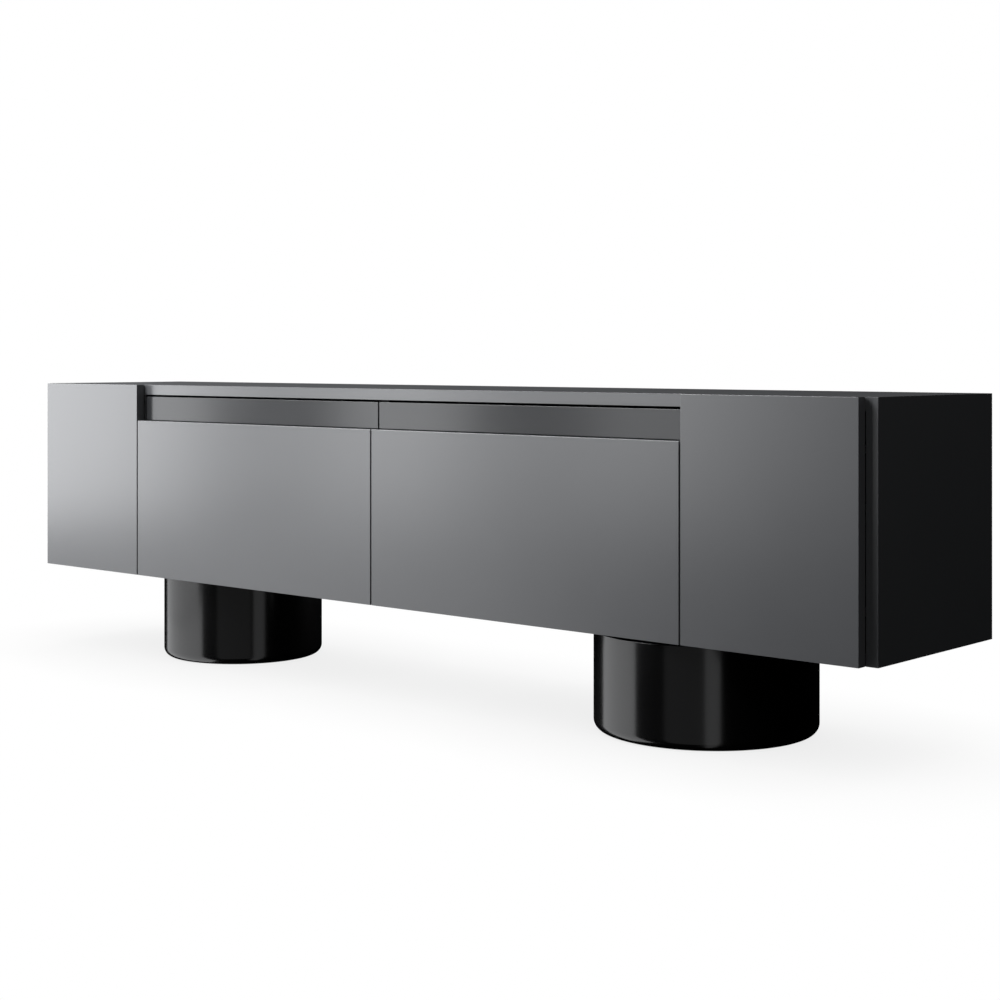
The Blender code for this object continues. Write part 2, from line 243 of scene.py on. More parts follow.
@dataclass(frozen=True)
class Lacquer:
    """Sprayed lacquer: even colour, faint orange peel, and slow changes of sheen."""

    slot: str
    colour: Point
    specular: float
    sheen: Span
    peel: float
    peel_size: float = 0.0022
    cloud_size: float = 0.16
    shade_change: float = 0.04
    detail: float = 1.0

    def material(self) -> bpy.types.Material:
        """Make the node material of this lacquer.

        Returns:
            The material.
        """
        pattern = Pattern(self.slot)
        pattern.fixed(specular_ior_level=self.specular)
        pattern.colour(self.colour, self.shade_change, pattern.noise(self.cloud_size), WHOLE_NOISE)
        sheen_clouds = pattern.noise(self.cloud_size / 2, self.detail)
        pattern.roughness(self.sheen, sheen_clouds, WHOLE_NOISE)
        pattern.relief((pattern.noise(self.peel_size, self.detail), self.peel))
        return pattern.material


@dataclass(frozen=True)
class FacedBoard:
    """Dark faced board: a fine pressed grain that runs along one direction, with pores."""

    slot: str
    colour: Point
    specular: float = 0.4
    shade_change: float = 0.22
    sheen: Span = (0.48, 0.62)
    stretch: Point = (0.06, 1.0, 1.0)
    grain_size: float = 0.004
    grain_detail: float = 5.0
    grain_depth: float = 0.00004
    pore_size: float = 0.0009
    pore_depth: float = 0.00002

    def material(self) -> bpy.types.Material:
        """Make the node material of this board.

        Returns:
            The material.
        """
        pattern = Pattern(self.slot)
        pattern.fixed(specular_ior_level=self.specular)
        grain = pattern.noise(self.grain_size, self.grain_detail, self.stretch)
        pores = pattern.noise(self.pore_size, stretch=self.stretch)
        pattern.colour(self.colour, self.shade_change, grain)
        pattern.roughness(self.sheen, pores)
        pattern.relief((grain, self.grain_depth), (pores, self.pore_depth))
        return pattern.material


@dataclass(frozen=True)
class ZincSteel:
    """Zinc-plated drawn steel: fine drawing lines along Y over a faint spangle."""

    slot: str
    colour: Point
    shade_change: float = 0.10
    sheen: Span = (0.26, 0.42)
    spangle_size: float = 0.009
    line_size: float = 0.0007
    line_detail: float = 3.0
    line_stretch: Point = (1.0, 0.02, 1.0)
    line_depth: float = 0.000004

    def material(self) -> bpy.types.Material:
        """Make the node material of this steel.

        Returns:
            The material.
        """
        pattern = Pattern(self.slot)
        pattern.fixed(metallic=1.0)
        lines = pattern.noise(self.line_size, self.line_detail, self.line_stretch)
        pattern.colour(self.colour, self.shade_change, pattern.cells(self.spangle_size))
        pattern.roughness(self.sheen, lines)
        pattern.relief((lines, self.line_depth))
        return pattern.material


@dataclass(frozen=True)
class MouldedPlastic:
    """Moulded plastic with a fine spark-eroded grain."""

    slot: str
    colour: Point
    shade_change: float = 0.06
    sheen: Span = (0.40, 0.56)
    cloud_size: float = 0.01
    grain_size: float = 0.0005
    grain_depth: float = 0.000012

    def material(self) -> bpy.types.Material:
        """Make the node material of this plastic.

        Returns:
            The material.
        """
        pattern = Pattern(self.slot)
        grain = pattern.noise(self.grain_size)
        pattern.colour(self.colour, self.shade_change, pattern.noise(self.cloud_size))
        pattern.roughness(self.sheen, grain)
        pattern.relief((grain, self.grain_depth))
        return pattern.material


class Finish(Enum):
    """The finishes of the dresser."""

    GRAPHITE = Lacquer("graphite_lacquer", (0.078, 0.080, 0.084), specular=1.0,
                       sheen=(0.276, 0.296), peel=0.0000009)
    CHANNEL = Lacquer("channel_lacquer", (0.035, 0.036, 0.038), specular=0.42,
                      sheen=(0.145, 0.185), peel=0.0000007)
    BLACK_GLOSS = Lacquer("black_gloss_lacquer", (0.004, 0.004, 0.0042), specular=1.0,
                          sheen=(0.145, 0.175), peel=0.0000006)
    DARK_BOARD = FacedBoard("dark_board", (0.030, 0.031, 0.033))
    STEEL = ZincSteel("zinc_steel", (0.56, 0.57, 0.59))
    GREY_PLASTIC = MouldedPlastic("grey_plastic", (0.16, 0.16, 0.17))


class Paintshop:
    """Makes each finish's material once, and dresses pieces with it."""

    def __init__(self) -> None:
        """Start with no material made."""
        self.made: dict[Finish, bpy.types.Material] = {}

    def dress(self, piece: Piece, finish: Finish) -> None:
        """Give a piece a finish all over, and name the record's slot that it stands for.

        Args:
            piece: the piece.
            finish: its finish.
        """
        if finish not in self.made:
            self.made[finish] = finish.value.material()
        piece.data.materials.clear()
        piece.data.materials.append(self.made[finish])


# ------------------------------------------------------------------ modelling


def take(*pieces: Piece) -> None:
    """Select these pieces only, and make the last one active.

    Args:
        pieces: the pieces to work on.
    """
    bpy.ops.object.select_all(action="DESELECT")
    for piece in pieces:
        piece.select_set(True)
        bpy.context.view_layer.objects.active = piece


@contextmanager
def edit_mode(piece: Piece) -> Iterator[None]:
    """Work on a piece in edit mode, with nothing selected at first.

    Args:
        piece: the piece to work on.
    """
    take(piece)
    bpy.ops.object.mode_set(mode="EDIT")
    bpy.ops.mesh.select_all(action="DESELECT")
    yield
    bpy.ops.object.mode_set(mode="OBJECT")


def pick(piece: Piece, kind: Element, wanted: Callable[[Any], bool]) -> None:
    """Select just the faces, edges or points that pass a test, in edit mode.

    Args:
        piece: the piece in edit mode.
        kind: which of them are tested.
        wanted: the test of one of them.
    """
    bpy.ops.mesh.select_mode(type=kind.name)
    bpy.ops.mesh.select_all(action="DESELECT")
    mesh = bmesh.from_edit_mesh(piece.data)
    for element in getattr(mesh, kind.value):
        element.select_set(wanted(element))
    if kind is Element.VERT:
        mesh.select_flush(True)
    bmesh.update_edit_mesh(piece.data)


def near(a: float, b: float) -> bool:
    """Whether two places are the same, within a hair."""
    return abs(a - b) < SAME_PLACE


def faces_towards(face: Face, direction: Point) -> bool:
    """Whether a face looks in a direction."""
    return face.normal.dot(Vector(direction)) > ALIGNED


def is_sharp(edge: Edge) -> bool:
    """Whether two faces meet in a crease at an edge."""
    return len(edge.link_faces) == 2 and edge.calc_face_angle(0.0) > SMOOTH_LIMIT


def runs_along(edge: Edge, axis: str) -> bool:
    """Whether an edge runs along the x, y or z axis."""
    along = edge.verts[1].co - edge.verts[0].co
    return abs(getattr(along, axis)) > ALIGNED * along.length


def lies_at(edge: Edge, axis: str, place: float) -> bool:
    """Whether all of an edge is at one place along the x, y or z axis."""
    return all(near(getattr(vertex.co, axis), place) for vertex in edge.verts)


def settled_in_place(name: str) -> Piece:
    """Name the active object, and move its place, turn and scale into its mesh.

    Args:
        name: the object's name.

    Returns:
        The object.
    """
    piece = bpy.context.object
    piece.name = name
    piece.data.name = name
    bpy.ops.object.transform_apply(location=True, rotation=True, scale=True)
    return piece


def block(name: str, low: Corner, high: Corner) -> Piece:
    """Add a box between two corners, with its place in its mesh.

    Args:
        name: the piece's name.
        low: one corner.
        high: the corner across from it.

    Returns:
        The box.
    """
    bpy.ops.object.select_all(action="DESELECT")
    low, high = Vector(low), Vector(high)
    size = [abs(b - a) for a, b in zip(low, high)]
    bpy.ops.mesh.primitive_cube_add(size=1.0, location=(low + high) / 2, scale=size)
    return settled_in_place(name)


def cylinder(name: str, base: Corner, length: float, radius: float, facing: Facing,
             sides: int) -> Piece:
    """Add a cylinder, with its place in its mesh.

    Args:
        name: the piece's name.
        base: centre of its foot.
        length: its length.
        radius: its radius.
        facing: where it points from its foot.
        sides: how many sides it has.

    Returns:
        The cylinder.
    """
    bpy.ops.object.select_all(action="DESELECT")
    bpy.ops.mesh.primitive_cylinder_add(vertices=sides, radius=radius, depth=length,
                                        location=(0, 0, length / 2))
    bpy.ops.object.transform_apply(location=True, rotation=True, scale=True)
    piece = bpy.context.object
    piece.rotation_euler = facing.value
    piece.location = base
    return settled_in_place(name)


def bevel(piece: Piece, width: float, segments: int,
          wanted: Callable[[Edge], bool] = is_sharp) -> None:
    """Round a piece's edges.

    Args:
        piece: the piece.
        width: width of the rounding on each face.
        segments: how many facets it has.
        wanted: the test of an edge; every sharp edge without it.
    """
    with edit_mode(piece):
        pick(piece, Element.EDGE, wanted)
        bpy.ops.mesh.bevel(offset=width, segments=segments, affect="EDGES")


def cut(piece: Piece, *tools: Piece, join: bool = False) -> None:
    """Take tools out of a piece, or join them to it, and remove them.

    Args:
        piece: the piece.
        tools: closed solids.
        join: whether they are joined to the piece.
    """
    for tool in tools:
        take(piece)
        bpy.ops.object.modifier_add(type="BOOLEAN")
        modifier = piece.modifiers[-1]
        modifier.operation = "UNION" if join else "DIFFERENCE"
        modifier.object = tool
        bpy.ops.object.modifier_apply(modifier=modifier.name)
        bpy.data.objects.remove(tool, do_unlink=True)


def joined(name: str, pieces: list[Piece]) -> Piece:
    """Put several solids in one object.

    Args:
        name: its name.
        pieces: the solids.

    Returns:
        The object that holds them all.
    """
    take(*pieces)
    bpy.ops.object.join()
    piece = bpy.context.object
    piece.name = name
    return piece


def smooth(piece: Piece) -> Piece:
    """Merge doubles, point faces out, and shade flats flat and rounds round.

    Args:
        piece: the piece.

    Returns:
        The piece.
    """
    with edit_mode(piece):
        bpy.ops.mesh.select_all(action="SELECT")
        bpy.ops.mesh.remove_doubles(threshold=MERGE)
        bpy.ops.mesh.normals_make_consistent(inside=False)
    take(piece)
    bpy.ops.object.shade_smooth_by_angle(angle=SMOOTH_LIMIT)
    bpy.ops.object.modifier_add(type="WEIGHTED_NORMAL")
    modifier = piece.modifiers[-1]
    modifier.keep_sharp = True
    bpy.ops.object.modifier_apply(modifier=modifier.name)
    return piece


def copied(piece: Piece, name: str, offset: Point, facing: Facing) -> Piece:
    """Copy a piece with its own mesh.

    Args:
        piece: the piece, standing on the origin.
        name: the copy's name.
        offset: how far the copy is moved.
        facing: where the copy points from its foot.

    Returns:
        The copy, with its place in its mesh.
    """
    take(piece)
    bpy.ops.object.duplicate(linked=False)
    copy = bpy.context.object
    copy.rotation_euler = facing.value
    copy.location = offset
    return settled_in_place(name)


def eased_board(node: str, ending: str, arris: float, segments: int) -> Piece:
    """Board that fills a node's box, with all its edges eased.

    Args:
        node: the node.
        ending: what the board's name adds to the node's.
        arris: width of the easing.
        segments: how many facets the easing has.

    Returns:
        The board, not yet smoothed.
    """
    piece = block(f"{node}_{ending}", *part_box(node))
    bevel(piece, arris, segments)
    return piece


def body_of(node: str) -> str:
    """Name of the body that one of the frame's nodes rides on."""
    return frame["nodes"][node]["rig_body"]


class Assembly:
    """A sub-assembly: it mounts its finished pieces on the frame and reports them."""

    def __init__(self, paintshop: Paintshop) -> None:
        """Remember where its finishes come from."""
        self.paintshop = paintshop

    def mount(self, piece: Piece, finish: Finish, body: str) -> None:
        """Dress a finished piece and let it ride on a body.

        Args:
            piece: the piece, in place.
            finish: its finish.
            body: the body it rides on.
        """
        self.paintshop.dress(piece, finish)
        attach(piece, body)
        log.info("%s: %d faces", piece.name, len(piece.data.polygons))

    def replace(self, node: str, piece: Piece, finish: Finish) -> None:
        """Mount a finished piece that is shown instead of one of the frame's nodes.

        Args:
            node: the node.
            piece: the piece, in place.
            finish: its finish.
        """
        self.mount(piece, finish, body_of(node))
        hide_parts(node)

    def faced_board(self, node: str) -> None:
        """Mount a faced board with eased edges instead of one of the frame's nodes."""
        panel = eased_board(node, "faced", BOARD_ARRIS, BOARD_SEGMENTS)
        self.replace(node, smooth(panel), Finish.DARK_BOARD)


# ------------------------------------------------------------------ small fittings


@dataclass
class PanScrew:
    """Pan-head screw with a cross recess. Its head stands on the origin and points up."""

    radius: float = 0.0034
    height: float = 0.0018
    dome: float = 0.0011
    dome_segments: int = 3
    slot_length: float = 0.0040
    slot_width: float = 0.0009
    slot_depth: float = 0.0010
    sides: int = 24

    def head(self) -> Piece:
        """Model one head.

        Returns:
            The head, to be copied and then removed.
        """
        head = cylinder("screw_head", (0, 0, 0), self.height, self.radius, Facing.UP, self.sides)
        bevel(head, self.dome, self.dome_segments, lambda edge: lies_at(edge, "z", self.height))
        half, width = self.slot_length / 2, self.slot_width / 2
        floor = self.height - self.slot_depth
        across = block("slot_x", (-half, -width, floor), (half, width, 2 * self.height))
        along = block("slot_y", (-width, -half, floor), (width, half, 2 * self.height))
        cut(head, across, along)
        return smooth(head)

    def group(self, name: str, places: Iterable[Point], facing: Facing) -> Piece:
        """Model several heads as one object.

        Args:
            name: the object's name.
            places: where each head sits.
            facing: where they all point.

        Returns:
            The object.
        """
        head = self.head()
        heads = [copied(head, "screw", place, facing) for place in places]
        bpy.data.objects.remove(head, do_unlink=True)
        return joined(name, heads)


# ------------------------------------------------------------------ sub-assemblies


@dataclass
class ShellSizes:
    """Sizes of the mitred shell, the shelf pins and the back's screws."""

    arris: float = 0.0005
    segments: int = 2
    mitre_close: float = 0.00036
    pin_radius: float = 0.0025
    pin_reach: float = 0.008
    pin_inset: float = 0.045
    pin_rounding: float = 0.000625
    pin_sides: int = 20
    back_screw_inset: float = 0.030
    back_screw_rows: int = 4


class Shell(Assembly):
    """Mitred top and sides, with the bottom, back, partitions, dividers and shelves inside."""

    sizes = ShellSizes()

    def build(self) -> None:
        """Model and mount every piece of the shell."""
        self.top()
        for side in Side:
            self.side(side)
            self.shelf_pins(side)
        inner = ["bottom_panel", "back_panel", "partition_left", "partition_centre",
                 "partition_right", "divider_left", "divider_right", "shelf_left", "shelf_right"]
        for node in inner:
            self.faced_board(node)
        self.back_screws()

    def top(self) -> None:
        """Top panel, mitred at both ends."""
        low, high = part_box("top_panel")
        thickness = high.z - low.z
        panel = block("top_panel_lacquered", low, high)
        with edit_mode(panel):
            for end, sign in ((low.x, 1), (high.x, -1)):
                pick(panel, Element.VERT,
                     lambda vertex, end=end: near(vertex.co.x, end) and near(vertex.co.z, low.z))
                bpy.ops.transform.translate(value=(sign * thickness, 0, 0))
        bevel(panel, self.sizes.arris, self.sizes.segments, lambda edge: runs_along(edge, "x"))
        self.replace("top_panel", smooth(panel), Finish.GRAPHITE)

    def side(self, side: Side) -> None:
        """Side panel, mitred at its upper end.

        Args:
            side: the end of the dresser that it closes.
        """
        node = f"side_panel_{side.word}"
        low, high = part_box(node)
        thickness = high.x - low.x
        inner_x = low.x if side is Side.RIGHT else high.x
        panel = block(f"{node}_lacquered", low, high)
        with edit_mode(panel):
            pick(panel, Element.VERT,
                 lambda vertex: near(vertex.co.x, inner_x) and near(vertex.co.z, high.z))
            bpy.ops.transform.translate(value=(0, 0, -thickness))
            pick(panel, Element.VERT, lambda vertex: vertex.co.z > low.z + thickness)
            bpy.ops.transform.translate(value=(0, 0, self.sizes.mitre_close))
        bevel(panel, self.sizes.arris, self.sizes.segments, lambda edge: runs_along(edge, "z"))
        self.replace(node, smooth(panel), Finish.GRAPHITE)

    def shelf_pins(self, side: Side) -> None:
        """Four pins under a shelf, two in the side panel and two in the partition.

        Args:
            side: the end of the dresser that the shelf is at.
        """
        sizes = self.sizes
        low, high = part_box(f"shelf_{side.word}")
        pins = []
        for wall_x, inward in ((low.x - TOUCH, 1), (high.x + TOUCH, -1)):
            for y in (low.y + sizes.pin_inset, high.y - sizes.pin_inset):
                base = (wall_x, y, low.z - sizes.pin_radius - TOUCH)
                pin = cylinder("pin", base, sizes.pin_reach, sizes.pin_radius,
                               Facing.along_x(inward), sizes.pin_sides)
                bevel(pin, sizes.pin_rounding, sizes.segments)
                pins.append(pin)
        group = smooth(joined(f"shelf_pins_{side.word}", pins))
        self.mount(group, Finish.STEEL, "carcass")

    def back_screws(self) -> None:
        """Screws through the back panel into the three partitions."""
        low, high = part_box("back_panel")
        inset, rows = self.sizes.back_screw_inset, self.sizes.back_screw_rows
        first = low.z + inset
        step = (high.z - low.z - 2 * inset) / (rows - 1)
        places = []
        for name in ("left", "centre", "right"):
            near_edge, far_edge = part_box(f"partition_{name}")
            x = (near_edge.x + far_edge.x) / 2
            places += [(x, high.y, first + row * step) for row in range(rows)]
        screws = PanScrew().group("back_panel_screws", places, Facing.TO_BACK)
        self.mount(screws, Finish.STEEL, "carcass")


@dataclass
class FootSizes:
    """Sizes of the drum feet."""

    sides: int = 192
    lower_rounding: float = 0.017
    lower_segments: int = 10
    upper_rounding: float = 0.0005
    upper_segments: int = 3
    underside_inset: float = 0.012
    underside_recess: float = 0.002
    plate_sides: int = 96
    plate_rounding: float = 0.0008
    plate_segments: int = 2


class DrumFeet(Assembly):
    """The two drums, and the steel plates that join them to the bottom panel."""

    sizes = FootSizes()

    def build(self) -> None:
        """Model and mount both feet."""
        for side in Side:
            self.drum(side)
            self.plate(side)

    def round_solid(self, node: str, name: str, sides: int) -> Piece:
        """Upright cylinder that fills a node's box.

        Args:
            node: the node.
            name: the cylinder's name.
            sides: how many sides it has.

        Returns:
            The cylinder.
        """
        low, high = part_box(node)
        base = ((low.x + high.x) / 2, (low.y + high.y) / 2, low.z)
        return cylinder(name, base, high.z - low.z, (high.x - low.x) / 2, Facing.UP, sides)

    def drum(self, side: Side) -> None:
        """Drum with a rounded lower rim and a shallow recess underneath.

        Args:
            side: the end of the dresser that it carries.
        """
        node = f"drum_foot_{side.word}"
        sizes = self.sizes
        low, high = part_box(node)
        drum = self.round_solid(node, f"{node}_lacquered", sizes.sides)
        bevel(drum, sizes.lower_rounding, sizes.lower_segments,
              lambda edge: lies_at(edge, "z", low.z))
        bevel(drum, sizes.upper_rounding, sizes.upper_segments,
              lambda edge: lies_at(edge, "z", high.z))
        with edit_mode(drum):
            pick(drum, Element.FACE,
                 lambda face: faces_towards(face, (0, 0, -1)) and len(face.verts) == sizes.sides)
            bpy.ops.mesh.inset(thickness=sizes.underside_inset)
            bpy.ops.mesh.extrude_region_move(
                TRANSFORM_OT_translate={"value": (0, 0, sizes.underside_recess)})
        self.replace(node, smooth(drum), Finish.BLACK_GLOSS)

    def plate(self, side: Side) -> None:
        """Round steel plate between a drum and the bottom panel.

        Args:
            side: the end of the dresser that it is at.
        """
        node = f"foot_plate_{side.word}"
        plate = self.round_solid(node, f"{node}_steel", self.sizes.plate_sides)
        bevel(plate, self.sizes.plate_rounding, self.sizes.plate_segments)
        self.replace(node, smooth(plate), Finish.STEEL)


@dataclass
class FrontSizes:
    """Sizes of the lacquered fronts and of the soft pads behind them."""

    arris: float = 0.0006
    segments: int = 3
    pad_radius: float = 0.004
    pad_thickness: float = 0.0013
    pad_inset: float = 0.012
    pad_sides: int = 24


class Front(Assembly):
    """A lacquered front board, whatever it closes."""

    sizes = FrontSizes()

    def panel(self, node: str) -> Piece:
        """Front board with rounded arrises, not yet smoothed or mounted."""
        return eased_board(node, "lacquered", self.sizes.arris, self.sizes.segments)

    def pads(self, node: str, ends: Iterable[float]) -> None:
        """Soft pads on the back of a front, at two heights for each X.

        Args:
            node: the front's node.
            ends: the X places of the pads.
        """
        low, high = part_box(node)
        sizes = self.sizes
        pads = []
        for x in ends:
            for z in (low.z + sizes.pad_inset, high.z - sizes.pad_inset):
                pad = cylinder("pad", (x, high.y, z), sizes.pad_thickness, sizes.pad_radius,
                               Facing.TO_BACK, sizes.pad_sides)
                bevel(pad, sizes.pad_thickness / 2, sizes.segments,
                      lambda edge: all(vertex.co.y > high.y + TOUCH for vertex in edge.verts))
                pads.append(pad)
        group = smooth(joined(f"{node}_pads", pads))
        self.mount(group, Finish.GREY_PLASTIC, body_of(node))


@dataclass
class HingeSizes:
    """Sizes of a concealed hinge."""

    sides: int = 48
    flange_half_width: float = 0.0105
    flange_half_height: float = 0.0275
    flange_corner: float = 0.0045
    corner_segments: int = 5
    wall: float = 0.0012
    cup_radius: float = 0.0175
    cup_screw_spread: float = 0.0235
    wing_half_height: float = 0.022
    wing_width: float = 0.012
    wing_thickness: float = 0.0022
    wing_start: float = 0.044
    wing_rounding: float = 0.0006
    wing_screw_spread: float = 0.016
    arm_start: float = 0.0028
    arm_half_height: float = 0.0062
    arm_half_width: float = 0.0044
    arm_bend: float = 0.024
    arm_neck: float = 0.0085
    arm_setback: float = 0.22
    front_screw_inset: float = 0.010
    rear_screw_inset: float = 0.008
    rounding: float = 0.0005
    segments: int = 2
    rim: float = 0.0014
    recess: float = 0.0012


class Door(Front):
    """Full-height door with its two concealed hinges."""

    hinge = HingeSizes()
    cup_screw = PanScrew(radius=0.0030, height=0.0011, dome=0.0006, slot_depth=0.0006)
    arm_screw = PanScrew(radius=0.0030)

    def build(self, side: Side) -> None:
        """Model and mount a door.

        Args:
            side: the end of the dresser that it is at.
        """
        node = f"door_{side.word}"
        door = self.panel(node)
        for level in ("lower", "upper"):
            cut(door, self.bore(side, level))
        self.replace(node, smooth(door), Finish.GRAPHITE)
        low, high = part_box(node)
        free_x = low.x if side is Side.RIGHT else high.x
        self.pads(node, [free_x + side.value * self.sizes.pad_inset])
        for level in ("lower", "upper"):
            self.cup(side, level)
            self.arm(side, level)

    def bore(self, side: Side, level: str) -> Piece:
        """Cutter for the hole that a hinge cup sits in.

        Args:
            side: the door's side.
            level: lower or upper hinge.

        Returns:
            The cutter.
        """
        low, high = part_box(f"hinge_cup_{side.word}_{level}")
        centre = ((low.x + high.x) / 2, low.y - TOUCH, (low.z + high.z) / 2)
        return cylinder("bore", centre, high.y - low.y + TOUCH, self.hinge.cup_radius + TOUCH,
                        Facing.TO_BACK, self.hinge.sides)

    def cup(self, side: Side, level: str) -> None:
        """Pressed cup with its flange plate and two screws.

        Args:
            side: the door's side.
            level: lower or upper hinge.
        """
        node = f"hinge_cup_{side.word}_{level}"
        sizes = self.hinge
        low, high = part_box(node)
        x, z = (low.x + high.x) / 2, (low.z + high.z) / 2
        depth = high.y - low.y
        flange_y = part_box(f"door_{side.word}")[1].y + TOUCH
        plate = block(f"{node}_pressed",
                      (x - sizes.flange_half_width, flange_y, z - sizes.flange_half_height),
                      (x + sizes.flange_half_width, high.y, z + sizes.flange_half_height))
        bevel(plate, sizes.flange_corner, sizes.corner_segments,
              lambda edge: runs_along(edge, "y"))
        body = cylinder("body", (x, low.y, z), depth, sizes.cup_radius, Facing.TO_BACK,
                        sizes.sides)
        cut(plate, body, join=True)
        hollow = cylinder("hollow", (x, low.y + sizes.wall, z), depth,
                          sizes.cup_radius - sizes.wall, Facing.TO_BACK, sizes.sides)
        cut(plate, hollow)
        self.replace(node, smooth(plate), Finish.STEEL)
        places = [(x, high.y, z + up * sizes.cup_screw_spread) for up in (-1, 1)]
        screws = self.cup_screw.group(f"{node}_screws", places, Facing.TO_BACK)
        self.mount(screws, Finish.STEEL, f"door_{side.word}")

    def arm(self, side: Side, level: str) -> None:
        """Hinge arm with its winged plate on the side panel, and its screws.

        Args:
            side: the door's side.
            level: lower or upper hinge.
        """
        node = f"hinge_arm_{side.word}_{level}"
        sizes = self.hinge
        low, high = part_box(node)
        cup_low, cup_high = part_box(f"hinge_cup_{side.word}_{level}")
        wall_x = high.x if side is Side.RIGHT else low.x
        z = (low.z + high.z) / 2
        inward = -side.value
        tip_x = (cup_low.x + cup_high.x) / 2
        rear_x = wall_x + inward * (high.x - low.x) * sizes.arm_setback
        front_y = low.y + sizes.arm_bend + sizes.arm_start
        arm = block(f"{node}_pressed",
                    (rear_x - sizes.arm_half_width, front_y, z - sizes.arm_half_height),
                    (rear_x + sizes.arm_half_width, high.y, z + sizes.arm_half_height))
        with edit_mode(arm):
            pick(arm, Element.FACE, lambda face: faces_towards(face, (0, -1, 0)))
            bpy.ops.mesh.extrude_region_move(TRANSFORM_OT_translate={
                "value": (tip_x - rear_x, low.y + sizes.arm_neck - front_y, 0)})
            bpy.ops.mesh.extrude_region_move(
                TRANSFORM_OT_translate={"value": (0, -sizes.arm_neck, 0)})
            pick(arm, Element.FACE, lambda face: faces_towards(face, (inward, 0, 0))
                 and face.calc_center_median().y > front_y)
            bpy.ops.mesh.inset(thickness=sizes.rim)
            bpy.ops.mesh.extrude_region_move(
                TRANSFORM_OT_translate={"value": (-inward * sizes.recess, 0, 0)})
        bevel(arm, sizes.rounding, sizes.segments)
        wing_x = wall_x + inward * sizes.wing_thickness
        wing_y = low.y + sizes.wing_start
        wing = block("wing", (wall_x, wing_y, z - sizes.wing_half_height),
                     (wing_x, wing_y + sizes.wing_width, z + sizes.wing_half_height))
        bevel(wing, sizes.wing_rounding, sizes.segments)
        cut(arm, wing, join=True)
        self.replace(node, smooth(arm), Finish.STEEL)
        wing_places = [(wing_x, wing_y + sizes.wing_width / 2, z + up * sizes.wing_screw_spread)
                       for up in (-1, 1)]
        face_x = rear_x + inward * (sizes.arm_half_width - sizes.recess)
        arm_places = [(face_x, y, z) for y in (front_y + sizes.front_screw_inset,
                                               high.y - sizes.rear_screw_inset)]
        screws = self.arm_screw.group(f"{node}_screws", wing_places + arm_places,
                                      Facing.along_x(inward))
        self.mount(screws, Finish.STEEL, "carcass")


@dataclass
class LatchSizes:
    """Sizes of a push latch."""

    sides: int = 32
    rounding: float = 0.0012
    segments: int = 3
    ear_length: float = 0.010
    ear_half_height: float = 0.0145
    ear_thickness: float = 0.0022
    ear_setback: float = 0.022
    ear_rounding: float = 0.0006
    ear_segments: int = 2
    ear_screw_spread: float = 0.0114
    bore_clearance: float = 0.0003
    bore_run: float = 0.003
    nose: float = 0.0015
    nose_segments: int = 4


class PushLatch(Assembly):
    """Push latch on the partition, with its plunger."""

    sizes = LatchSizes()
    screw = PanScrew(radius=0.0025, height=0.0014, dome=0.0008, slot_length=0.003)

    def build(self, side: Side) -> None:
        """Model and mount the latch of one side."""
        self.housing(side)
        self.plunger(side)

    def housing(self, side: Side) -> None:
        """Housing with two ears, a bore and its screws.

        Args:
            side: the side of the door that it holds.
        """
        node = f"latch_housing_{side.word}"
        sizes = self.sizes
        low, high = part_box(node)
        wall_x = low.x if side is Side.RIGHT else high.x
        z = (low.z + high.z) / 2
        housing = block(f"{node}_moulded", low, high)
        bevel(housing, sizes.rounding, sizes.segments)
        ear_x = wall_x + side.value * sizes.ear_thickness
        ear_y = low.y + sizes.ear_setback
        ears = block("ears", (wall_x, ear_y, z - sizes.ear_half_height),
                     (ear_x, ear_y + sizes.ear_length, z + sizes.ear_half_height))
        bevel(ears, sizes.ear_rounding, sizes.ear_segments)
        cut(housing, ears, join=True)
        pin_low, pin_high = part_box(f"latch_plunger_{side.word}")
        bore = cylinder("bore", ((pin_low.x + pin_high.x) / 2, pin_low.y, z),
                        pin_high.y - pin_low.y + sizes.bore_run + TOUCH,
                        (pin_high.x - pin_low.x) / 2 + sizes.bore_clearance, Facing.TO_BACK,
                        sizes.sides)
        cut(housing, bore)
        self.replace(node, smooth(housing), Finish.GREY_PLASTIC)
        places = [(ear_x, ear_y + sizes.ear_length / 2, z + up * sizes.ear_screw_spread)
                  for up in (-1, 1)]
        screws = self.screw.group(f"{node}_screws", places, Facing.along_x(side.value))
        self.mount(screws, Finish.STEEL, "carcass")

    def plunger(self, side: Side) -> None:
        """Round-nosed plunger.

        Args:
            side: the side of the door that it pushes.
        """
        node = f"latch_plunger_{side.word}"
        sizes = self.sizes
        low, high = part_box(node)
        front = ((low.x + high.x) / 2, low.y, (low.z + high.z) / 2)
        plunger = cylinder(f"{node}_moulded", front, high.y - low.y, (high.x - low.x) / 2,
                           Facing.TO_BACK, sizes.sides)
        bevel(plunger, sizes.nose, sizes.nose_segments, lambda edge: lies_at(edge, "y", low.y))
        self.replace(node, smooth(plunger), Finish.GREY_PLASTIC)


@dataclass
class DrawerSizes:
    """Sizes of the drawers' runners and of the screws' places."""

    sheet: float = 0.0012
    runner_rounding: float = 0.0004
    runner_segments: int = 2
    runner_screw_inset: float = 0.045
    front_screw_inset: float = 0.060


class Drawer(Front):
    """Drawer: a lacquered front on a box of faced boards."""

    box_sizes = DrawerSizes()

    def box(self, prefix: str, names: Iterable[str]) -> None:
        """Boards of a drawer's box, whose nodes start with the drawer's name."""
        for name in names:
            self.faced_board(f"{prefix}_{name}")


